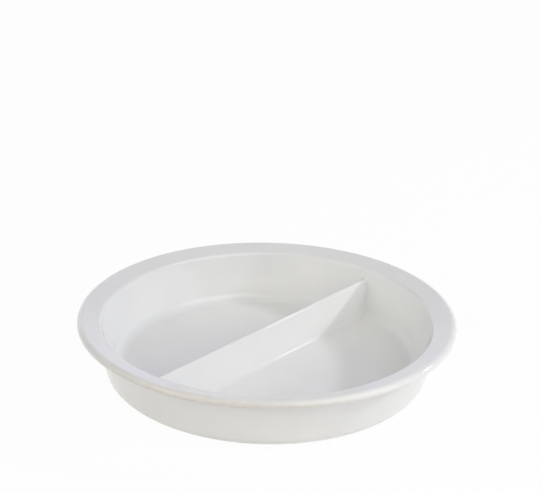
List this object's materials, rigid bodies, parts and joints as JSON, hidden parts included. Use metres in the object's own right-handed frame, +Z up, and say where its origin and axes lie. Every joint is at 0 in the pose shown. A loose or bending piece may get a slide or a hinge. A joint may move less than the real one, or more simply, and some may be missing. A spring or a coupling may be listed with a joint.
{
  "type": "divided serving dish",
  "caption": "Round shallow serving dish in white glazed porcelain: broad sloping rim with a level seat, drafted side wall, coved floor and a low straight divider that makes two D-shaped wells.",
  "frame": {"origin": "centre of the plane that the dish stands on", "axes": "+Z up out of the wells; the divider runs along X, and one well lies on each side of it, towards +Y and -Y"},
  "size_m": [0.39, 0.39, 0.066],
  "materials": {
    "glaze": "glossy white glaze",
    "bisque": "unglazed, matt, slightly warm"
  },
  "bodies": {
    "root": {"foot_ring": "bisque", "base_floor": "glaze", "side_wall": "glaze", "rim_flange": "glaze", "divider_wall": "glaze"}
  },
  "joints": []
}
